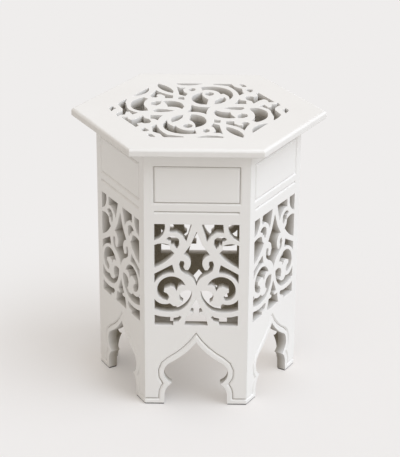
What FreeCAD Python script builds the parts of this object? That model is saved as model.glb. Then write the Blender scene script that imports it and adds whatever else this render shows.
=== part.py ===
"""Hexagonal coffee table of painted board: six pierced and arched side panels
under a pierced six-sided top.

Z points up and the table stands on Z = 0, centred on the origin. Two corners of
the hexagon lie on the X axis and a flat side faces -Y, which is the front.
Lengths are in millimetres.
"""
import FreeCAD
import Part
from FreeCAD import Vector
import math
import os

# Whole table
table_height = 450.0
top_across_corners = 400.0
top_overhang = 33.2
side_count = 6

# Boards
panel_thickness = 15.0
top_thickness = 13.0
top_upper_round = 5.0
top_lower_chamfer = 1.5

# Pierced window in each side panel, heights above the panel's own foot
stile_width = 15.83
window_height = 173.0
window_foot_height = 140.0

# Arch between the two feet of a side panel
foot_width = 30.33
arch_height = 110.0

# Grooves cut by one pointed router bit
groove_width = 4.4
groove_depth = 3.4
groove_runs_per_arc = 4
head_frame_height = 58.5
head_frame_top_drop = 29.0
line_groove_drop = 15.0
foot_groove_height = 7.5

# Plain border round the pierced field of the top, measured at its corners
fret_border = 58.0

# Loose tongues between the side panels and the top
tongue_end_drop = 36.0
tongue_thickness = 4.0
tongue_height = 20.0
tongue_rise_into_top = 7.0
tongue_end_gap = 0.5
tongue_side_gap = 0.05

# Glue blocks in the corners, behind the solid head of the panels
block_leg = 34.0
block_height = 60.0
block_top_drop = 30.0
block_nose = 8.0

# Pads under the feet, cut a little smaller than the feet themselves
pad_thickness = 2.0
pad_inset = 0.8

# How far cutting tools reach past the faces that they cut
overrun = 5.0
groove_overrun = 0.5

# Worked out from the sizes above
half_angle = math.pi / side_count
top_radius = top_across_corners / 2
fret_reach = top_radius - fret_border
body_apothem = top_radius * math.cos(half_angle) - top_overhang
inner_apothem = body_apothem - panel_thickness
body_top = table_height - top_thickness
face_width = 2 * body_apothem * math.tan(half_angle)
window_width = face_width - 2 * stile_width
arch_width = face_width - 2 * foot_width
tongue_length = face_width - 2 * tongue_end_drop
bow_flag = "bow"
bend_flag = "bend"
runs_per_bend = 4


def bow(across, up):
    """A point that an arc passes over on its way to the next corner."""
    return (across, up, bow_flag)


def bend(across, up):
    """The same for a lesser curve, which a few straight runs make."""
    return (across, up, bend_flag)


# Holes of the side panel's window. The first figure is a share of the window's
# width, measured from its middle, and the second a share of its height, measured
# from its lower edge. The right half is drawn and the left half mirrors it.
middle_hole_shares = {
    "lantern": [
        (0.0, 0.93), (0.07, 0.80), (0.158, 0.703), bow(0.088, 0.668), (0.075, 0.59),
        (0.098, 0.553), (0.135, 0.556), (0.155, 0.585), (0.143, 0.612), (0.152, 0.640),
        (0.190, 0.644), (0.208, 0.607), (0.190, 0.550), (0.138, 0.517), bend(0.055, 0.478),
        (0.0, 0.40),
    ],
    "arrow": [
        (0.0, 0.268), (0.045, 0.195), (0.078, 0.143), (0.035, 0.130),
        (0.035, 0.106), (0.106, 0.106), (0.143, 0.0),
    ],
}
side_hole_shares = {
    "upper_corner": [
        (0.50, 1.0), (0.373, 1.0), bend(0.402, 0.893), (0.50, 0.838),
    ],
    "upper_slot": [
        (0.058, 1.0), (0.311, 1.0), (0.319, 0.919), (0.235, 0.922), (0.165, 0.885),
        (0.122, 0.832),
    ],
    "upper_curl": [
        (0.358, 0.857), bend(0.285, 0.885), (0.209, 0.853), (0.204, 0.800), (0.232, 0.762),
        (0.256, 0.782), (0.268, 0.806), (0.300, 0.796), (0.303, 0.836), (0.335, 0.840),
    ],
    "side": [
        (0.50, 0.797), bend(0.41, 0.813), (0.317, 0.797), (0.305, 0.750), (0.262, 0.717),
        bend(0.37, 0.634), (0.50, 0.572),
    ],
    "wedge": [
        (0.50, 0.515), (0.287, 0.607), (0.262, 0.525), bend(0.405, 0.500), (0.50, 0.427),
    ],
    "ring": [
        (0.131, 0.40), bow(0.19, 0.463), (0.296, 0.49), bow(0.418, 0.449), (0.468, 0.362),
        bow(0.435, 0.281), (0.345, 0.250), (0.322, 0.284), (0.348, 0.320), (0.388, 0.334),
        (0.385, 0.366), (0.310, 0.390), (0.266, 0.380), (0.237, 0.345), (0.216, 0.390),
        (0.175, 0.408),
    ],
    "sweep": [
        (0.50, 0.265), bow(0.42, 0.217), (0.317, 0.221), (0.273, 0.193), (0.213, 0.196),
        (0.158, 0.232), (0.190, 0.250), (0.205, 0.298), (0.178, 0.337), (0.120, 0.356),
        (0.052, 0.348), bow(0.105, 0.215), (0.215, 0.144), bend(0.36, 0.133), (0.50, 0.158),
    ],
    "lower_slot": [
        (0.50, 0.0), (0.50, 0.103), bend(0.35, 0.083), (0.20, 0.098), (0.175, 0.083),
        (0.212, 0.042), (0.275, 0.031), (0.275, 0.0),
    ],
}

# Right half of the arch and of the groove line outside it, from foot to point, as
# shares of the arch's width, measured from its middle, and of its height.
arch_half_shares = [
    (0.495, 0.0), (0.490, 0.109), bow(0.462, 0.241), (0.381, 0.324),
    bow(0.503, 0.500), (0.3975, 0.667), bow(0.179, 0.814), (0.0, 1.0),
]
arch_line_foot_share = 0.586
arch_line_half_shares = [
    (0.584, 0.120), bow(0.564, 0.235), (0.520, 0.312), bow(0.592, 0.500),
    (0.4416, 0.738), bow(0.2396, 0.8745), (0.0, 1.136),
]

# Holes of the top, as shares of the pierced field's reach. The list covers one
# half, and a half turn about the middle gives the other. The middle hole stands
# alone and matches itself after a half turn.
top_middle_shares = [
    (-0.085, 0.15), bow(0.02, 0.082), (0.13, 0.095), bend(0.09, -0.03),
    (0.085, -0.15), bow(-0.02, -0.082), (-0.13, -0.095), bend(-0.09, 0.03),
]
top_hole_shares = {
    "tip": [
        (-0.955, 0.09), (-0.942, 0.034), (-0.912, 0.0), (-0.944, -0.034), (-0.955, -0.085),
        (-0.993, 0.0),
    ],
    "border_fork": [
        (0.815, -0.32), (0.872, -0.225), (0.903, -0.14), (0.862, -0.045), bend(0.838, 0.06),
        (0.905, 0.165), (0.877, 0.25), (0.852, 0.20), (0.805, 0.19), (0.797, 0.095),
        (0.758, 0.10), (0.722, 0.185), (0.663, 0.125), bend(0.757, 0.05), (0.80, -0.09),
        (0.822, -0.20),
    ],
    "border_leaf": [
        (-0.755, 0.405), (-0.588, 0.70), bow(-0.598, 0.545),
    ],
    "great_leaf": [
        (-0.482, 0.852), bow(-0.365, 0.735), (-0.300, 0.60), (-0.303, 0.528),
        bend(-0.428, 0.635), (-0.490, 0.79),
    ],
    "hook": [
        (-0.497, 0.63), bend(-0.42, 0.525), (-0.30, 0.45), (-0.300, 0.358), (-0.388, 0.358),
        (-0.388, 0.430), (-0.430, 0.480), (-0.478, 0.485), (-0.488, 0.44), (-0.463, 0.412),
        (-0.488, 0.378), (-0.530, 0.376), (-0.557, 0.43), (-0.522, 0.525),
    ],
    "rim_slot": [
        (-0.272, 0.863), (0.03, 0.863), bend(-0.11, 0.798), (-0.272, 0.828),
    ],
    "small_eye": [
        (-0.09, 0.712), (-0.054, 0.688), (-0.054, 0.628), (-0.09, 0.600), (-0.124, 0.628),
        (-0.124, 0.686),
    ],
    "stem": [
        (-0.265, 0.752), (-0.235, 0.715), (-0.162, 0.722), (-0.193, 0.655), (-0.173, 0.56),
        (-0.137, 0.515), (-0.160, 0.432), (-0.228, 0.48),
    ],
    "knot": [
        (-0.236, 0.412), (-0.174, 0.405), (-0.168, 0.312), (-0.240, 0.330),
    ],
    "left_crescent": [
        (-0.573, 0.02), (-0.56, -0.058), (-0.635, -0.068), bow(-0.725, 0.005),
        (-0.757, 0.13), bow(-0.722, 0.285), (-0.630, 0.378), (-0.574, 0.330),
        bow(-0.615, 0.185),
    ],
    "left_eye": [
        (-0.420, 0.256), (-0.485, 0.254), (-0.537, 0.208), (-0.530, 0.132), (-0.468, 0.115),
        (-0.433, 0.168),
    ],
    "left_heart": [
        (-0.405, 0.252), bow(-0.285, 0.262), (-0.188, 0.175), (-0.163, 0.09),
        (-0.185, 0.012), bend(-0.235, 0.060), (-0.343, 0.074), (-0.358, 0.155),
    ],
    "right_leaf": [
        (0.265, 0.046), (0.325, 0.080), (0.405, 0.098), (0.488, 0.094), (0.502, 0.045),
        (0.465, 0.0), (0.36, 0.007),
    ],
    "scroll_heart": [
        (0.030, 0.562), bow(-0.062, 0.475), (-0.088, 0.36), bend(-0.058, 0.245),
        (0.022, 0.165), (0.085, 0.162), (0.100, 0.330), bend(0.042, 0.430),
    ],
    "scroll_eye": [
        (0.11, 0.577), (0.152, 0.556), (0.162, 0.515), (0.148, 0.471), (0.11, 0.453),
        (0.070, 0.474), (0.058, 0.515), (0.072, 0.558),
    ],
    "scroll_crescent": [
        (0.012, 0.742), bow(0.225, 0.740), (0.355, 0.61), bend(0.377, 0.47), (0.335, 0.328),
        bow(0.328, 0.432), (0.268, 0.527), (0.236, 0.510), bow(0.165, 0.628),
        (0.050, 0.652), (0.032, 0.625),
    ],
    "scroll_leaf": [
        (0.168, 0.172), (0.176, 0.268), (0.219, 0.355), (0.282, 0.414), bend(0.296, 0.290),
    ],
    "rim_thorn": [
        (0.148, 0.863), (0.355, 0.863), (0.398, 0.765), (0.480, 0.700), (0.486, 0.592),
        (0.502, 0.548), (0.450, 0.478), bend(0.402, 0.65), (0.322, 0.788), (0.148, 0.836),
    ],
    "rim_drop": [
        (0.443, 0.860), (0.498, 0.852), (0.533, 0.792), (0.520, 0.765), (0.488, 0.770),
    ],
    "rim_bud": [
        (0.518, 0.662), (0.540, 0.692), (0.580, 0.692), (0.602, 0.668), (0.600, 0.625),
        (0.572, 0.582),
    ],
    "rim_branch": [
        (0.667, 0.568), (0.838, 0.272), (0.778, 0.258), (0.762, 0.325), (0.722, 0.355),
        (0.668, 0.312), (0.608, 0.212), (0.586, 0.290), (0.535, 0.325), (0.510, 0.400),
        (0.528, 0.445), (0.575, 0.455), (0.612, 0.428), (0.660, 0.470), (0.636, 0.532),
    ],
    "wedge": [
        (0.440, 0.352), (0.475, 0.316), (0.522, 0.302), (0.526, 0.195), (0.388, 0.195),
        (0.422, 0.270),
    ],
}


def outline(points, place):
    """A closed wire through the points: straight between two corners, curved over a third."""
    edges = []
    count = len(points)
    start = place(*points[0][:2])
    step = 1
    while step <= count:
        point = points[step % count]
        through = place(*point[:2])
        if point[-1] in (bow_flag, bend_flag):
            end = place(*points[(step + 1) % count][:2])
            arc = Part.Arc(start, through, end).toShape()
            runs = arc.discretize(runs_per_bend + 1)
            edges.extend([arc] if point[-1] == bow_flag else Part.makePolygon(runs).Edges)
            step += 2
        else:
            end = through
            edges.append(Part.LineSegment(start, end).toShape())
            step += 1
        start = end
    return Part.Wire(edges)


def mirrored(points):
    """The same outline on the other side of the middle line."""
    return [(-point[0],) + tuple(point[1:]) for point in points]


def both_sides(half):
    """A half outline that starts and ends on the middle line, closed by its mirror image."""
    inner = half[1:-1] if half[-1][0] == 0.0 else half[1:]
    back = [(-point[0],) + tuple(point[1:]) for point in reversed(inner)]
    return list(half) + back


def half_turned(points):
    """The same outline after a half turn about the middle."""
    return [(-point[0], -point[1]) + tuple(point[2:]) for point in points]


def in_window(across_share, up_share):
    """A point of the side panel's window, on the panel's front face."""
    window_base = pad_thickness + window_foot_height
    return Vector(across_share * window_width, -body_apothem, window_base + up_share * window_height)


def on_arch(across_share, up_share):
    """A point of the arch, on the panel's front face."""
    return Vector(across_share * arch_width, -body_apothem, pad_thickness + up_share * arch_height)


def on_top(across_share, up_share):
    """A point of the top's pierced field, on its upper face."""
    return Vector(across_share * fret_reach, up_share * fret_reach, table_height)


def upright_rectangle(width, low, high, depth):
    """A rectangle that stands parallel to the panel's front, centred across it."""
    corners = [
        Vector(-width / 2, depth, low),
        Vector(width / 2, depth, low),
        Vector(width / 2, depth, high),
        Vector(-width / 2, depth, high),
    ]
    return Part.makePolygon(corners + corners[:1])


def arch_wire():
    """The arch's outline, run on below the feet so that it cuts them apart."""
    left_half = [(-point[0],) + tuple(point[1:]) for point in reversed(arch_half_shares[:-1])]
    below_share = -overrun / arch_height
    foot_share = arch_half_shares[0][0]
    return outline(
        [(foot_share, below_share)] + arch_half_shares + left_half + [(-foot_share, below_share)],
        on_arch,
    )


def panel_outline():
    """The side panel's front outline, without the arch."""
    return upright_rectangle(face_width, pad_thickness, body_top, -body_apothem)


def line_corners(line):
    """The corners of a closed line, with every arc cut into a few straight runs."""
    corners = []
    for edge in line.Edges:
        runs = groove_runs_per_arc if hasattr(edge.Curve, "Radius") else 1
        corners.extend(edge.discretize(runs + 1)[:-1])
    return corners


def mitred(corners, grow):
    """A closed line's corners moved outward in their own upright plane, each side by as much."""
    ahead = corners[1:] + corners[:1]
    squares = [(b - a).normalize().cross(Vector(0, -1, 0)) for a, b in zip(corners, ahead)]
    moved = []
    for number, corner in enumerate(corners):
        before, after = squares[number - 1], squares[number]
        moved.append(corner + (before + after) * (grow / (1 + before.dot(after))))
    return moved


def groove_along(line):
    """A V-shaped groove with mitred corners, cut into the front panel's face along a line."""
    corners = line_corners(line)
    half_mouth = groove_width / 2 * (groove_depth + groove_overrun) / groove_depth
    lift = Vector(0, -groove_overrun, 0)
    outer = [corner + lift for corner in mitred(corners, half_mouth)]
    inner = [corner + lift for corner in mitred(corners, -half_mouth)]
    root = [corner + Vector(0, groove_depth, 0) for corner in corners]
    faces = []
    for near, far in ((outer, inner), (inner, root), (root, outer)):
        for number in range(len(corners)):
            quad = [near[number - 1], near[number], far[number], far[number - 1]]
            faces.append(Part.Face(Part.makePolygon(quad + quad[:1])))
    return Part.Solid(Part.Shell(faces))


def head_frame_line():
    """The groove line round the head of a panel."""
    high = body_top - head_frame_top_drop
    return upright_rectangle(window_width, high - head_frame_height, high, -body_apothem)


def head_rule():
    """The single level groove under the head frame, cut straight through its length."""
    level = body_top - head_frame_top_drop - head_frame_height - line_groove_drop
    half_mouth = groove_width / 2 * (groove_depth + groove_overrun) / groove_depth
    left = Vector(-window_width / 2, -body_apothem, level)
    mouth = left - Vector(0, groove_overrun, 0)
    corners = [
        mouth - Vector(0, 0, half_mouth),
        mouth + Vector(0, 0, half_mouth),
        left + Vector(0, groove_depth, 0),
    ]
    section = Part.Face(Part.makePolygon(corners + corners[:1]))
    return section.extrude(Vector(window_width, 0, 0))


def arch_line():
    """The groove line that follows the arch and turns out across both feet."""
    side_share = (face_width / 2 + overrun) / arch_width
    below_share = -overrun / arch_height
    foot_share = foot_groove_height / arch_height
    half = [(side_share, below_share), (side_share, foot_share), (arch_line_foot_share, foot_share)]
    half = half + arch_line_half_shares
    left_half = [(-point[0],) + tuple(point[1:]) for point in reversed(half[:-1])]
    return outline(half + left_half, on_arch)


def window_wires():
    """Every hole of a side panel's window, left and right."""
    wires = []
    for half in middle_hole_shares.values():
        wires.append(outline(both_sides(half), in_window))
    for points in side_hole_shares.values():
        wires.append(outline(points, in_window))
        wires.append(outline(mirrored(points), in_window))
    return wires


def mitre_wedge(side):
    """What the mitre cut takes off one upright edge of a panel. side is 1 or -1."""
    outer_x = side * face_width / 2
    inner_x = side * inner_apothem * math.tan(half_angle)
    past = side * overrun
    slope = math.tan(half_angle)
    corners = [
        Vector(outer_x + past * slope, -body_apothem - overrun, -overrun),
        Vector(outer_x + past * slope + side * panel_thickness, -body_apothem - overrun, -overrun),
        Vector(outer_x + past * slope + side * panel_thickness, -inner_apothem + overrun, -overrun),
        Vector(inner_x - past * slope, -inner_apothem + overrun, -overrun),
    ]
    face = Part.Face(Part.makePolygon(corners + corners[:1]))
    return face.extrude(Vector(0, 0, table_height + overrun))


def upright_box(length, width, low, high):
    """A box centred over the middle of the front panel's thickness, its length along the panel."""
    level = -body_apothem + panel_thickness / 2
    corner = Vector(-length / 2, level - width / 2, low)
    return Part.makeBox(length, width, high - low, corner)


def tongue_slot(low, high):
    """The room that a loose tongue takes in a board, with its clearances."""
    length = tongue_length + 2 * tongue_end_gap
    width = tongue_thickness + 2 * tongue_side_gap
    return upright_box(length, width, low, high)


def front_panel():
    """One side panel, standing at the front of the table."""
    face = Part.makeFace([panel_outline()] + window_wires(), "Part::FaceMakerBullseye")
    panel = face.extrude(Vector(0, panel_thickness, 0))
    arch_face = Part.Face(arch_wire())
    arch_face.translate(Vector(0, -overrun, 0))
    cutters = [arch_face.extrude(Vector(0, panel_thickness + 2 * overrun, 0))]
    cutters.append(mitre_wedge(1))
    cutters.append(mitre_wedge(-1))
    cutters.append(groove_along(head_frame_line()))
    cutters.append(groove_along(arch_line()))
    cutters.append(head_rule())
    tongue_foot = body_top + tongue_rise_into_top - tongue_height
    cutters.append(tongue_slot(tongue_foot, body_top + overrun))
    for cutter in cutters:
        panel = panel.cut(cutter)
    return panel


def hexagon_face(radius, level):
    """A level hexagon with corners on the X axis."""
    corners = []
    for corner in range(side_count):
        angle = 2 * half_angle * corner
        corners.append(Vector(radius * math.cos(angle), radius * math.sin(angle), level))
    return Part.Face(Part.makePolygon(corners + corners[:1]))


def edges_at(shape, level):
    """Edges of a board that lie at one level."""
    near = top_thickness / 10
    chosen = []
    for edge in shape.Edges:
        box = edge.BoundBox
        if abs(box.ZMin - level) < near and abs(box.ZMax - level) < near:
            chosen.append(edge)
    return chosen


def pierced_top():
    """The top board with its eased edges, pierced field and slots for the tongues."""
    board = hexagon_face(top_radius, body_top).extrude(Vector(0, 0, top_thickness))
    board = board.makeFillet(top_upper_round, edges_at(board, table_height))
    board = board.makeChamfer(top_lower_chamfer, edges_at(board, body_top))
    wires = [outline(top_middle_shares, on_top)]
    for points in top_hole_shares.values():
        wires.append(outline(points, on_top))
        wires.append(outline(half_turned(points), on_top))
    slot = tongue_slot(body_top - overrun, body_top + tongue_rise_into_top + tongue_end_gap)
    cutters = [turned(slot, number) for number in range(side_count)]
    for wire in wires:
        face = Part.Face(wire)
        face.translate(Vector(0, 0, overrun))
        cutters.append(face.extrude(Vector(0, 0, -top_thickness - 2 * overrun)))
    return board.cut(cutters)


def loose_tongues():
    """The tongues between the panels and the top, as separate solids."""
    foot = body_top + tongue_rise_into_top - tongue_height
    tongue = upright_box(tongue_length, tongue_thickness, foot, foot + tongue_height)
    return Part.makeCompound([turned(tongue, number) for number in range(side_count)])


def corner_block():
    """A glue block in the corner on +X, cut off square where it faces the room inside."""
    tip = inner_apothem / math.cos(half_angle)
    leg_x = tip - block_leg * math.sin(half_angle)
    leg_y = block_leg * math.cos(half_angle)
    nose_x = leg_x - block_nose
    low = body_top - block_top_drop - block_height
    corners = [
        Vector(tip, 0, low),
        Vector(leg_x, leg_y, low),
        Vector(nose_x, leg_y - block_nose, low),
        Vector(nose_x, -leg_y + block_nose, low),
        Vector(leg_x, -leg_y, low),
    ]
    face = Part.Face(Part.makePolygon(corners + corners[:1]))
    return face.extrude(Vector(0, 0, block_height))


def foot_pad():
    """An angled felt pad under the two panel feet that meet at the corner on +X."""
    outer = body_apothem - pad_inset
    inner = inner_apothem + pad_inset
    arch_side = arch_half_shares[0][0] * arch_width + pad_inset
    square = Vector(math.cos(half_angle), math.sin(half_angle), 0)
    along = Vector(math.sin(half_angle), -math.cos(half_angle), 0)
    upper_half = [
        Vector(outer / math.cos(half_angle), 0, 0),
        square * outer + along * arch_side,
        square * inner + along * arch_side,
        Vector(inner / math.cos(half_angle), 0, 0),
    ]
    lower_half = [Vector(point.x, -point.y, 0) for point in upper_half[2:0:-1]]
    corners = upper_half + lower_half
    face = Part.Face(Part.makePolygon(corners + corners[:1]))
    return face.extrude(Vector(0, 0, pad_thickness))


def turned(shape, number):
    """A copy of the shape, turned by a number of sides about the table's middle."""
    copy = shape.copy()
    copy.rotate(Vector(0, 0, 0), Vector(0, 0, 1), math.degrees(2 * half_angle * number))
    return copy


def build_nodes():
    """Every separate piece of the table, by name."""
    side_names = ["front", "front_right", "back_right", "back", "back_left", "front_left"]
    corner_names = ["right", "back_right", "back_left", "left", "front_left", "front_right"]
    nodes = {"top_board": pierced_top()}
    panel = front_panel()
    for number, name in enumerate(side_names):
        nodes["side_panel_" + name] = turned(panel, number)
    block = corner_block()
    pad = foot_pad()
    for number, name in enumerate(corner_names):
        nodes["corner_block_" + name] = turned(block, number)
        nodes["foot_pad_" + name] = turned(pad, number)
    nodes["loose_tongues"] = loose_tongues()
    return nodes


os.makedirs("parts", exist_ok=True)
for node_name, node_shape in build_nodes().items():
    node_shape.exportStep("parts/" + node_name + ".step")
    print(node_name, len(node_shape.Solids), "solids, valid:", node_shape.isValid())
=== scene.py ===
# %% [markdown]
# A six-sided coffee table, cut from fibreboard and sprayed white. Its top and its six
# sides are pierced with scrollwork, and a pointed arch is cut between every two feet.
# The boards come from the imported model, which fixes every size and place. Here they
# get what a spray shop and a sanding block give them: softened edges, satin lacquer,
# bare board inside, and felt under the feet.

# %% Load the frame
import math
import bpy
from mathutils import Matrix, Vector


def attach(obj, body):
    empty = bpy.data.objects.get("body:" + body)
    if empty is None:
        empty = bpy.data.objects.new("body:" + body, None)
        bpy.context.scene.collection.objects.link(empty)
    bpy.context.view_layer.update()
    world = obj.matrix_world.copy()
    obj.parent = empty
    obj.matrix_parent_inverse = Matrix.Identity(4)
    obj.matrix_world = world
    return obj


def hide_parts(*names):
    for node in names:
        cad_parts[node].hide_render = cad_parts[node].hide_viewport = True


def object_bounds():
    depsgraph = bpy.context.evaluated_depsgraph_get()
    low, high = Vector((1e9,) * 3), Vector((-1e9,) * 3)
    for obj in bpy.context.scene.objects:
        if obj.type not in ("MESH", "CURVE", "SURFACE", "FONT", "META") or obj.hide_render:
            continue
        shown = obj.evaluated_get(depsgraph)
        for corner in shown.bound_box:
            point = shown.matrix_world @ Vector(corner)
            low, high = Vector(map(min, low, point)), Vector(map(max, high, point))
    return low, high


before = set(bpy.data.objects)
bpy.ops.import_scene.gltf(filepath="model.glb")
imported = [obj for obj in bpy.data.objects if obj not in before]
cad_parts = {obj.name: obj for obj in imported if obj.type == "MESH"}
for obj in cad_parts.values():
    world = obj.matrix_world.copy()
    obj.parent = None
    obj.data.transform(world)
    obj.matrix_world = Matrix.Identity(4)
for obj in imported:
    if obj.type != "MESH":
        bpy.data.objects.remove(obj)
cad_low, cad_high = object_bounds()
table_height = cad_high[2]
top_half_depth = cad_high[1]
print("CAD box:", tuple(cad_low), tuple(cad_high))

# %% [markdown]
# White paint is judged in plain light, so the picture is shown without a film look: a
# colour that is written as a hex value comes out close to that value. Blender mixes
# colours in linear light, so one function turns every hex value into that.

# %% Plain colours
bpy.context.scene.view_settings.view_transform = "Standard"


def linear(hex_value):
    """Linear red, green, blue and alpha, from a hex value by the sRGB curve's own numbers."""
    channels = []
    for start in (0, 2, 4):
        value = int(hex_value[start:start + 2], 16) / 255
        channels.append(value / 12.92 if value <= 0.04045 else ((value + 0.055) / 1.055) ** 2.4)
    return (*channels, 1.0)


# %% [markdown]
# The photograph was taken from a little above, far enough away that upright edges
# hardly lean in. Its camera was found by fitting the table's corners. It looks 24
# degrees down, almost square to the front side, through a long lens. The camera is
# placed by its distance and three angles, because those can be read and corrected one
# at a time, and a matrix can't.

# %% Camera
view_distance = 2.603
view_rise = math.radians(24.262)
view_side = math.radians(0.770)
view_roll = math.radians(0.412)
view_target = Vector((0.0031, 0.0, 0.2455))
focal_length_pixels = 1610.6
long_side_pixels = 457
sensor_millimetres = 36.0

back = Vector((
    math.sin(view_side) * math.cos(view_rise),
    -math.cos(view_side) * math.cos(view_rise),
    math.sin(view_rise),
))
level_right = Vector((math.cos(view_side), math.sin(view_side), 0.0))
level_up = back.cross(level_right)
right = level_right * math.cos(view_roll) + level_up * math.sin(view_roll)
up = level_up * math.cos(view_roll) - level_right * math.sin(view_roll)

camera_data = bpy.data.cameras.new("studio_camera")
camera_data.sensor_width = sensor_millimetres
camera_data.lens = sensor_millimetres * focal_length_pixels / long_side_pixels
camera = bpy.data.objects.new("studio_camera", camera_data)
bpy.context.scene.collection.objects.link(camera)
camera.matrix_world = Matrix.Translation(view_target + back * view_distance) @ Matrix((
    (right.x, up.x, back.x),
    (right.y, up.y, back.y),
    (right.z, up.z, back.z),
)).to_4x4()
bpy.context.scene.camera = camera
print("lens in millimetres:", round(camera_data.lens, 1))

# %% [markdown]
# A white object on a pale floor needs light from all round, or its shaded side goes
# grey. So the room itself gives over half of the light, a little warm. A large soft
# lamp on the right, halfway up, makes the right side as bright as the top and leaves
# the left side darkest, with a faint shadow on the floor. A weak, very wide lamp in
# front lifts the front a little, and its own shadow falls behind the table. Sun lamps
# with a wide angle do this work, because their light is equally strong everywhere, and
# a floor that should look even must be lit evenly.

# %% Light
world = bpy.data.worlds.new("soft_room")
bpy.context.scene.world = world
world.use_nodes = True
warm_grey = (0.63, 0.583, 0.53, 1.0)
room_light = world.node_tree.nodes["Background"]
room_light.inputs["Color"].default_value = warm_grey
room_light.inputs["Strength"].default_value = 1.0


def soft_lamp(name, direction, strength, colour, width_degrees):
    """A far lamp in one direction from the table, as wide as so many degrees of sky."""
    data = bpy.data.lights.new(name, "SUN")
    data.energy = strength
    data.color = colour
    data.angle = math.radians(width_degrees)
    lamp = bpy.data.objects.new(name, data)
    lamp.rotation_euler = Vector(direction).to_track_quat("Z", "Y").to_euler()
    bpy.context.scene.collection.objects.link(lamp)
    print(name + ":", strength, "watts on a square metre")


soft_lamp("lamp_on_the_right", direction=(0.66, -0.24, 0.70), strength=1.79,
          colour=(0.81, 0.885, 0.985), width_degrees=50)
soft_lamp("lamp_in_front", direction=(0.0, -0.84, 0.54), strength=0.29,
          colour=(0.90, 0.95, 1.0), width_degrees=80)

# %% [markdown]
# Materials are built from a few nodes each. One small helper adds a node, sets what
# it needs and links what feeds it, so that each material below reads as a short list.
# A socket is called by its name, or by its number where several share one name. Filling
# in a node is a step of its own, because it also serves the shader that every new
# material already has.

# %% Node helper
colour_mix = {"data_type": "RGBA"}


def fill_in(tree, node, values=(), links=()):
    """A node's socket values are set and its incoming links are made."""
    for socket, value in dict(values).items():
        node.inputs[socket].default_value = value
    for socket, source in dict(links).items():
        tree.links.new(source, node.inputs[socket])


def add_node(tree, kind, settings=(), values=(), links=()):
    """A node of one kind, with its settings, socket values and incoming links."""
    node = tree.nodes.new(kind)
    for name, value in dict(settings).items():
        setattr(node, name, value)
    fill_in(tree, node, values, links)
    return node


def new_material(name):
    """An empty material, with its node tree, its shader and the object's own coordinates."""
    material = bpy.data.materials.new(name)
    material.use_nodes = True
    tree = material.node_tree
    shader = tree.nodes["Principled BSDF"]
    place = add_node(tree, "ShaderNodeTexCoord").outputs["Object"]
    return material, tree, shader, place


millimetres_in_a_metre = 1000.0


def grain(millimetres):
    """A pattern's scale, from the real size of one of its grains in millimetres."""
    return millimetres_in_a_metre / millimetres


# %% [markdown]
# Satin nitrocellulose lacquer on fibreboard, sprayed in thin coats. A sprayed coat is
# never quite flat: it dries with a shallow orange peel, a millimetre or two from bump
# to bump, and it is a touch thicker and creamier in some places than in others. The
# gloss is low and wide, so roughness stays near 0.45 and drifts a little. Shade is
# painted into the bottom of the grooves as a darker grey. The shader can't tell a
# groove from a face by itself, so each panel carries the depth of its points behind the
# outer face, and the tone falls with that depth.

# %% Lacquered face
lacquer_refraction = 1.48
groove_shade_from_depth = 2.5
groove_shade_full_depth = 3.2
lacquer, tree, shader, place = new_material("satin_white_lacquer")
cloud = add_node(tree, "ShaderNodeTexNoise", values={"Scale": grain(90), "Detail": 3.0},
                 links={"Vector": place})
coat = add_node(tree, "ShaderNodeMix", colour_mix,
                values={"A": linear("F1F0EF"), "B": linear("F6F6F5")},
                links={"Factor": cloud.outputs["Fac"]})
depth = add_node(tree, "ShaderNodeAttribute", {"attribute_name": "depth_mm"})
# The darker grey at the bottom of each groove is painted shade.
painted_groove_shade = add_node(tree, "ShaderNodeMapRange",
                       values={"From Min": groove_shade_from_depth, "From Max": groove_shade_full_depth},
                       links={"Value": depth.outputs["Fac"]})
groove_shaded = add_node(tree, "ShaderNodeMix", colour_mix, values={"B": linear("A39E94")},
                 links={"Factor": painted_groove_shade.outputs["Result"], "A": coat.outputs["Result"]})
peel = add_node(tree, "ShaderNodeTexNoise", values={"Scale": grain(1.6), "Detail": 2.0},
                links={"Vector": place})
gloss = add_node(tree, "ShaderNodeMapRange", values={"To Min": 0.40, "To Max": 0.50},
                 links={"Value": cloud.outputs["Fac"]})
bump = add_node(tree, "ShaderNodeBump", values={"Strength": 0.10, "Distance": 0.0002},
                links={"Height": peel.outputs["Fac"]})
fill_in(tree, shader, values={"IOR": lacquer_refraction},
        links={"Base Color": groove_shaded.outputs["Result"], "Roughness": gloss.outputs["Result"],
               "Normal": bump.outputs["Normal"]})
print(lacquer.name + ":", len(tree.nodes), "nodes")

# %% [markdown]
# The cut edges of fibreboard drink lacquer, because their fibres stand end on. However
# often they are sanded and sprayed they stay duller and a shade greyer than the faces,
# with a fine felted grain. The gun reaches the walls of a hole only from outside. So in
# the panels, and in the holes of the top, the coat thins out with the same depth as
# above, and the brown board shows through. The brown is made stronger than a thin coat
# alone would give, so that it also paints the shade deep in the holes: partly bare
# board, partly painted shade.

# %% Lacquered edge
thinning_and_shade_from = 1.5
thinnest_and_darkest_at = 12.0
board_and_shade_show_through = 0.78
edge_lacquer, tree, shader, place = new_material("lacquered_fibreboard_edge")
fibres = add_node(tree, "ShaderNodeTexNoise", values={"Scale": grain(0.9), "Detail": 4.0},
                  links={"Vector": place})
stain = add_node(tree, "ShaderNodeTexNoise", values={"Scale": grain(14), "Detail": 2.0},
                 links={"Vector": place})
coat = add_node(tree, "ShaderNodeMix", colour_mix,
                values={"A": linear("E8E7E5"), "B": linear("F2F1F0")},
                links={"Factor": stain.outputs["Fac"]})
depth = add_node(tree, "ShaderNodeAttribute", {"attribute_name": "depth_mm"})
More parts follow.
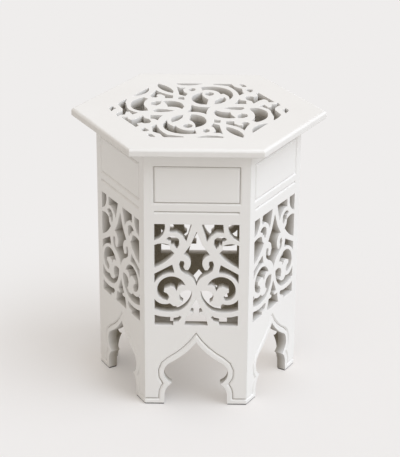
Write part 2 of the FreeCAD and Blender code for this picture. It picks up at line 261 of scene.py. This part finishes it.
# Deeper in the holes the colour goes brown: partly bare board, partly painted shade.
thin_coat_and_shade = add_node(tree, "ShaderNodeMapRange",
                     values={"From Min": thinning_and_shade_from, "From Max": thinnest_and_darkest_at,
                             "To Min": 0.0, "To Max": board_and_shade_show_through},
                     links={"Value": depth.outputs["Fac"]})
board_and_shade_seen = add_node(tree, "ShaderNodeMix", colour_mix, values={"B": linear("A1998B")},
                      links={"Factor": thin_coat_and_shade.outputs["Result"], "A": coat.outputs["Result"]})
bump = add_node(tree, "ShaderNodeBump", values={"Strength": 0.25, "Distance": 0.0002},
                links={"Height": fibres.outputs["Fac"]})
fill_in(tree, shader, values={"Roughness": 0.62, "IOR": lacquer_refraction},
        links={"Base Color": board_and_shade_seen.outputs["Result"], "Normal": bump.outputs["Normal"]})
print(edge_lacquer.name + ":", len(tree.nodes), "nodes")

# %% [markdown]
# The inside was never sprayed on purpose, but the mist from the gun drifts in through
# the pierced top and under the arches. It settles thick just under the top and close to
# the floor, and hardly at all in between. The height of a point inside the body says how
# much has settled, and a little noise makes it uneven. Board and wood both take the
# mist, so it is a helper that each of their materials calls.

# %% Drifted lacquer
mist_colour = linear("ECEAE6")
mist_ends_below_top = 0.135
mist_thick_below_top = 0.050
mist_ends_above_floor = 0.040


def drifted_lacquer(tree, place):
    """How much lacquer mist has settled, from 0 to 1, by the height inside the body."""
    height = add_node(tree, "ShaderNodeSeparateXYZ", links={"Vector": place}).outputs["Z"]
    below_top = add_node(tree, "ShaderNodeMapRange",
                         values={"From Min": table_height - mist_ends_below_top,
                                 "From Max": table_height - mist_thick_below_top},
                         links={"Value": height})
    above_floor = add_node(tree, "ShaderNodeMapRange",
                           values={"From Min": mist_ends_above_floor, "From Max": 0.0},
                           links={"Value": height})
    drift = add_node(tree, "ShaderNodeTexNoise", values={"Scale": grain(25), "Detail": 3.0},
                     links={"Vector": place})
    thinned = add_node(tree, "ShaderNodeMapRange",
                       values={"From Min": 0.35, "From Max": 0.65, "To Min": 0.75, "To Max": 1.0},
                       links={"Value": drift.outputs["Fac"]})
    both = add_node(tree, "ShaderNodeMath", {"operation": "ADD"},
                    links={0: below_top.outputs["Result"], 1: above_floor.outputs["Result"]})
    settled = add_node(tree, "ShaderNodeMath", {"operation": "MULTIPLY"},
                       links={0: both.outputs["Value"], 1: thinned.outputs["Result"]})
    return settled.outputs["Value"]


# %% [markdown]
# Bare fibreboard is a dull grey brown, pressed from wood fibres too short to show a
# grain, with small darker flecks of bark. A fine noise with steepened edges gives
# flecks, where a soft one would only give clouds. The drifted lacquer lies over them.

# %% Bare fibreboard
bare_board, tree, shader, place = new_material("bare_fibreboard")
flecks = add_node(tree, "ShaderNodeTexNoise", values={"Scale": grain(1.2), "Detail": 5.0},
                  links={"Vector": place})
sheet_tone = add_node(tree, "ShaderNodeTexNoise", values={"Scale": grain(60), "Detail": 2.0},
                      links={"Vector": place})
fleck_edge = add_node(tree, "ShaderNodeMapRange", values={"From Min": 0.36, "From Max": 0.52},
                      links={"Value": flecks.outputs["Fac"]})
tone = add_node(tree, "ShaderNodeMix", colour_mix,
                values={"A": linear("9E9583"), "B": linear("B0A795")},
                links={"Factor": sheet_tone.outputs["Fac"]})
flecked = add_node(tree, "ShaderNodeMix", colour_mix, values={"A": linear("7E7565")},
                   links={"Factor": fleck_edge.outputs["Result"], "B": tone.outputs["Result"]})
misted = add_node(tree, "ShaderNodeMix", colour_mix, values={"B": mist_colour},
                  links={"Factor": drifted_lacquer(tree, place), "A": flecked.outputs["Result"]})
bump = add_node(tree, "ShaderNodeBump", values={"Strength": 0.3, "Distance": 0.0002},
                links={"Height": flecks.outputs["Fac"]})
fill_in(tree, shader, values={"Roughness": 0.85},
        links={"Base Color": misted.outputs["Result"], "Normal": bump.outputs["Normal"]})
print(bare_board.name + ":", len(tree.nodes), "nodes")

# %% [markdown]
# The glue blocks are planed pine, cut with the grain upright, and the tongues are
# planed beech. Growth rings show as soft stripes, about a centimetre apart in the pine,
# and fine pores run along the grain. Both come from patterns that are drawn out along
# the wood. They repeat nowhere, as a photograph of wood soon would. The wave pattern
# counts in radians, 20 to a unit of its scale, so the rings are reckoned from that.

# %% Planed wood
radians_in_a_wave = 2 * math.pi
radians_at_scale_one = 20.0


def planed_wood(name, light_hex, dark_hex, ring_millimetres, stretch):
    """Planed wood under a little drifted lacquer, its rings and pores drawn out by a stretch."""
    ring_scale = grain(ring_millimetres) * radians_in_a_wave / radians_at_scale_one
    material, tree, shader, place = new_material(name)
    drawn_out = add_node(tree, "ShaderNodeMapping", values={"Scale": stretch},
                         links={"Vector": place})
    rings = add_node(tree, "ShaderNodeTexWave", {"bands_direction": "X"},
                     values={"Scale": ring_scale, "Distortion": 3.0, "Detail": 2.0,
                             "Detail Scale": 1.5},
                     links={"Vector": drawn_out.outputs["Vector"]})
    pores = add_node(tree, "ShaderNodeTexNoise", values={"Scale": grain(0.8), "Detail": 3.0},
                     links={"Vector": drawn_out.outputs["Vector"]})
    colour = add_node(tree, "ShaderNodeMix", colour_mix,
                      values={"A": linear(dark_hex), "B": linear(light_hex)},
                      links={"Factor": rings.outputs["Fac"]})
    misted = add_node(tree, "ShaderNodeMix", colour_mix, values={"B": mist_colour},
                      links={"Factor": drifted_lacquer(tree, place), "A": colour.outputs["Result"]})
    bump = add_node(tree, "ShaderNodeBump", values={"Strength": 0.3, "Distance": 0.0003},
                    links={"Height": pores.outputs["Fac"]})
    fill_in(tree, shader, values={"Roughness": 0.65},
            links={"Base Color": misted.outputs["Result"], "Normal": bump.outputs["Normal"]})
    print(material.name + ":", len(tree.nodes), "nodes")
    return material


pine = planed_wood("planed_pine", light_hex="CDB085", dark_hex="A98555",
                   ring_millimetres=9.87, stretch=(1.0, 1.0, 0.06))
beech = planed_wood("planed_beech", light_hex="C6A078", dark_hex="AC8259",
                    ring_millimetres=4.93, stretch=(0.3, 0.3, 0.3))

# %% [markdown]
# Pressed wool felt for the pads: a matt mat of short crossing fibres. Single hairs
# would be lost in a pad two millimetres thick, so fine noise makes the fibres, and a
# wide, faint sheen gives the bloom that wool has at its edges. The felt is made near
# black, so that its thin line under each foot also stands in for the shadow there:
# partly felt, partly painted shade.

# %% Pressed felt
felt, tree, shader, place = new_material("pressed_grey_felt")
wool = add_node(tree, "ShaderNodeTexNoise", values={"Scale": grain(0.7), "Detail": 5.0},
                links={"Vector": place})
# The near-black tone of the felt is partly painted shade under the feet.
wool_and_shade_tone = add_node(tree, "ShaderNodeMix", colour_mix,
                     values={"A": linear("161412"), "B": linear("262321")},
                     links={"Factor": wool.outputs["Fac"]})
bump = add_node(tree, "ShaderNodeBump", values={"Strength": 0.7, "Distance": 0.0004},
                links={"Height": wool.outputs["Fac"]})
fill_in(tree, shader,
        values={"Roughness": 0.95, "Sheen Weight": 0.04, "Sheen Roughness": 0.6},
        links={"Base Color": wool_and_shade_tone.outputs["Result"], "Normal": bump.outputs["Normal"]})
print(felt.name + ":", len(tree.nodes), "nodes")

# %% [markdown]
# A router and a saw leave sharp corners, and the sanding block takes them off before
# spraying, because lacquer won't hold on a sharp edge. Each board starts as a copy of
# its solid. The copy's loose triangles are welded together, and a narrow bevel rounds
# every corner, which is what catches the light along each scroll. The shading is then
# weighted by the size of the faces, so that the flat ones look flat up to their edges.

# %% Sanding
weld_distance = 0.00001
sharp_corner = math.radians(38)


def pick(piece):
    """The piece alone is selected and active, ready for the operators."""
    bpy.ops.object.select_all(action="DESELECT")
    piece.select_set(True)
    bpy.context.view_layer.objects.active = piece


def welded_copy(node_name, piece_name):
    """A new piece with a copy of a solid's mesh, its loose triangles welded together."""
    piece = bpy.data.objects.new(piece_name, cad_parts[node_name].data.copy())
    bpy.context.scene.collection.objects.link(piece)
    pick(piece)
    bpy.ops.object.mode_set(mode="EDIT")
    bpy.ops.mesh.select_all(action="SELECT")
    bpy.ops.mesh.customdata_custom_splitnormals_clear()
    bpy.ops.mesh.remove_doubles(threshold=weld_distance)
    bpy.ops.object.mode_set(mode="OBJECT")
    piece.data.materials.clear()
    return piece


def sand_edges(piece, radius, segments):
    """Every sharp corner is rounded, and the gentle ones are shaded smooth."""
    pick(piece)
    bevel = piece.modifiers.new("sanded", "BEVEL")
    bevel.width = radius
    bevel.segments = segments
    bevel.limit_method = "ANGLE"
    bevel.angle_limit = sharp_corner
    bevel.use_clamp_overlap = False
    bpy.ops.object.modifier_apply(modifier=bevel.name)
    bpy.ops.object.shade_smooth_by_angle(angle=sharp_corner)
    flatten = piece.modifiers.new("flat_faces_stay_flat", "WEIGHTED_NORMAL")
    flatten.keep_sharp = True
    bpy.ops.object.modifier_apply(modifier=flatten.name)
    print(piece.name + ":", len(piece.data.polygons), "faces")


# %% [markdown]
# A board has up to three finishes, and a face takes one of them by the way it looks.
# The lacquers fall off with depth, where the coat thins and where shade is painted
# into grooves and holes, so the faces that need it also learn how deep their corners
# lie below the outer face. The numbers stand at the corners of the faces and not at
# their points, because a marked wall and an unmarked face can share a point.

# %% Finishes and depth
outer_finish = 0
edge_finish = 1
inner_finish = 2


def mark_depth(piece, outward, is_marked):
    """The corners of the marked faces learn their depth in millimetres."""
    reach = max(vertex.co.dot(outward) for vertex in piece.data.vertices)
    depths = piece.data.attributes.new("depth_mm", "FLOAT", "CORNER")
    for face in filter(is_marked, piece.data.polygons):
        for corner in face.loop_indices:
            point = piece.data.vertices[piece.data.loops[corner].vertex_index].co
            depths.data[corner].value = (reach - point.dot(outward)) * millimetres_in_a_metre


def finish_piece(piece, node_name):
    """The piece rides on the table and stands for its solid, which is hidden."""
    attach(piece, "root")
    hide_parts(node_name)


# %% [markdown]
# The top is sprayed on both sides, so it needs only the first two finishes. Its outer
# rim is in the open and keeps a full coat. Only the walls of the holes, which lie well
# inside the rim, are marked with their depth, so they take the thinning coat and its
# painted shade.

# %% Pierced top
sand_radius = 0.0005
sand_segments = 2
upright_limit = 0.25
rim_allowance = 0.010
hole_reach = top_half_depth - rim_allowance


def is_hole_wall(face):
    """Whether a face of the top is the wall of one of its holes."""
    return face.material_index == edge_finish and face.center.xy.length < hole_reach


top = welded_copy("top_board", "pierced_top")
sand_edges(top, sand_radius, sand_segments)
top.data.materials.append(lacquer)
top.data.materials.append(edge_lacquer)
for face in top.data.polygons:
    face.material_index = edge_finish if abs(face.normal.z) < upright_limit else outer_finish
mark_depth(top, Vector((0.0, 0.0, 1.0)), is_hole_wall)
finish_piece(top, "top_board")

# %% [markdown]
# The six side panels are one panel, turned about the middle of the table. Each has all
# three finishes: lacquer on its outer face, duller lacquer on the cut edges, and bare
# board on the inside. How far a face looks outward, across, or in towards the middle
# says which one it gets. A groove's slopes look mostly outward, so they count as face.

# %% Side panels
side_names = ["front", "front_right", "back_right", "back", "back_left", "front_left"]
side_turn = math.radians(360 / len(side_names))
looks_outward = 0.35
looks_inward = -0.5


def board_finish(facing):
    """The finish of a face, by how far it looks outward, from 1 down to -1."""
    if facing > looks_outward:
        return outer_finish
    if facing < looks_inward:
        return inner_finish
    return edge_finish


for number, side in enumerate(side_names):
    node_name = "side_panel_" + side
    panel = welded_copy(node_name, "pierced_side_" + side)
    sand_edges(panel, sand_radius, sand_segments)
    outward = Matrix.Rotation(side_turn * number, 3, "Z") @ Vector((0.0, -1.0, 0.0))
    mark_depth(panel, outward, lambda face: True)
    for finish in (lacquer, edge_lacquer, bare_board):
        panel.data.materials.append(finish)
    for face in panel.data.polygons:
        face.material_index = board_finish(face.normal.dot(outward))
    finish_piece(panel, node_name)

# %% [markdown]
# The glue blocks are plain lengths of pine. Nobody sees them without turning the table
# over, so they get only a quick pass of the sanding block, which takes more off.

# %% Glue blocks
block_radius = 0.0012
for node_name in sorted(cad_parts):
    if node_name.startswith("corner_block_"):
        block = welded_copy(node_name, node_name.replace("corner_block", "glue_block"))
        sand_edges(block, block_radius, sand_segments)
        block.data.materials.append(pine)
        finish_piece(block, node_name)

# %% [markdown]
# The loose tongues are hidden in their slots, so their solids stay as they are and
# only get their wood.

# %% Loose tongues
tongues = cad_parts["loose_tongues"]
tongues.data.materials.clear()
tongues.data.materials.append(beech)
print(tongues.name + ":", len(tongues.data.polygons), "faces")

# %% [markdown]
# The felt pads are cut from sheet with a knife, as an angle that follows both feet of
# a corner. Their outline is crisp, but felt is soft where it is cut, so the rims get
# a round bevel.

# %% Felt pads
pad_softness = 0.0004
pad_segments = 3
for node_name in sorted(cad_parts):
    if node_name.startswith("foot_pad_"):
        pad = welded_copy(node_name, node_name.replace("foot_pad", "felt_pad"))
        sand_edges(pad, pad_softness, pad_segments)
        pad.data.materials.append(felt)
        finish_piece(pad, node_name)

# %% [markdown]
# The table stands on seamless pale paper, which fills the whole picture and takes the
# table's soft shadow. It throws back only part of the light that falls on it, as a
# dark studio floor does, so that the undersides and the grooves of a white table keep
# their shade. From below it is clear, so that the underside can be looked at.
#
# The camera sees the paper mixed with its own plain colour, by a third near the table
# and wholly a good half metre off, which keeps the near shadow and makes the
# background even. Under the table the mix grows towards the lamp and the far side, and
# is warmed by the boards, because in a real room light finds its way in through every
# opening.

# %% Floor
paper_size = 14.0
bpy.ops.object.select_all(action="DESELECT")
bpy.ops.mesh.primitive_plane_add(size=paper_size, location=(0.0, 0.0, 0.0))
floor = bpy.context.active_object
floor.name = "paper_floor"
print("paper floor:", paper_size, "metres square")

# %% [markdown]
# First the paper itself, in two tones. A ray that carries the picture to the eye,
# straight or by way of a shiny or clear surface, finds the pale one. Every other ray
# carries light to the table, and finds the darker one.

# %% Paper
paper_colour = linear("EFEDEC")
paper, tree, shader, place = new_material("seamless_paper")
ray = add_node(tree, "ShaderNodeLightPath")
straight_or_shiny = add_node(tree, "ShaderNodeMath", {"operation": "MAXIMUM"},
                             links={0: ray.outputs["Is Camera Ray"],
                                    1: ray.outputs["Is Glossy Ray"]})
seen_ray = add_node(tree, "ShaderNodeMath", {"operation": "MAXIMUM"},
                    links={0: straight_or_shiny.outputs["Value"],
                           1: ray.outputs["Is Transmission Ray"]})
paper_tone = add_node(tree, "ShaderNodeMix", colour_mix,
                      values={"A": linear("C9C6C2"), "B": paper_colour},
                      links={"Factor": seen_ray.outputs["Value"]})
fill_in(tree, shader, values={"Roughness": 0.9, "Specular IOR Level": 0.0},
        links={"Base Color": paper_tone.outputs["Result"]})

# %% [markdown]
# Then the share of plain colour, by the distance in metres from the middle of the
# table. Under the table there is less of it on the dark side, and more on the side
# where the light comes in.

# %% Plain share
near_table = 0.12
open_floor = 0.62
near_share = 0.32
body_reach = 0.11
body_faded = 0.22
light_comes_from = (0.80, 0.60, 0.0)
dark_side = -0.15
bright_side = 0.09
dark_share = -0.19
bright_share = 0.34
from_table = add_node(tree, "ShaderNodeVectorMath", {"operation": "LENGTH"}, links={0: place})
evenness = add_node(tree, "ShaderNodeMapRange", {"interpolation_type": "SMOOTHSTEP"},
                    values={"From Min": near_table, "From Max": open_floor,
                            "To Min": near_share, "To Max": 1.0},
                    links={"Value": from_table.outputs["Value"]})
under_table = add_node(tree, "ShaderNodeMapRange", {"interpolation_type": "SMOOTHSTEP"},
                       values={"From Min": body_reach, "From Max": body_faded,
                               "To Min": 1.0, "To Max": 0.0},
                       links={"Value": from_table.outputs["Value"]})
towards_light = add_node(tree, "ShaderNodeVectorMath", {"operation": "DOT_PRODUCT"},
                         values={1: light_comes_from}, links={0: place})
let_in = add_node(tree, "ShaderNodeMapRange",
                  values={"From Min": dark_side, "From Max": bright_side,
                          "To Min": dark_share, "To Max": bright_share},
                  links={"Value": towards_light.outputs["Value"]})
plain_share = add_node(tree, "ShaderNodeMath", {"operation": "MULTIPLY_ADD"},
                       links={0: under_table.outputs["Result"], 1: let_in.outputs["Result"],
                              2: evenness.outputs["Result"]})
seen_share = add_node(tree, "ShaderNodeMath", {"operation": "MULTIPLY"},
                      links={0: seen_ray.outputs["Value"], 1: plain_share.outputs["Value"]})

# %% [markdown]
# Last the two are mixed, and the paper's back is made clear to the camera.

# %% Mixed paper
plain_tone = add_node(tree, "ShaderNodeMix", colour_mix,
                      values={"A": paper_colour, "B": linear("EFE9E4")},
                      links={"Factor": under_table.outputs["Result"]})
plain = add_node(tree, "ShaderNodeEmission", values={"Strength": 1.0},
                 links={"Color": plain_tone.outputs["Result"]})
mixed = add_node(tree, "ShaderNodeMixShader",
                 links={"Fac": seen_share.outputs["Value"], 1: shader.outputs["BSDF"],
                        2: plain.outputs["Emission"]})
geometry = add_node(tree, "ShaderNodeNewGeometry")
from_below = add_node(tree, "ShaderNodeMath", {"operation": "MULTIPLY"},
                      links={0: geometry.outputs["Backfacing"], 1: ray.outputs["Is Camera Ray"]})
clear = add_node(tree, "ShaderNodeBsdfTransparent")
either = add_node(tree, "ShaderNodeMixShader",
                  links={"Fac": from_below.outputs["Value"], 1: mixed.outputs["Shader"],
                         2: clear.outputs["BSDF"]})
fill_in(tree, tree.nodes["Material Output"], links={"Surface": either.outputs["Shader"]})
floor.data.materials.append(paper)
print(paper.name + ":", len(tree.nodes), "nodes")
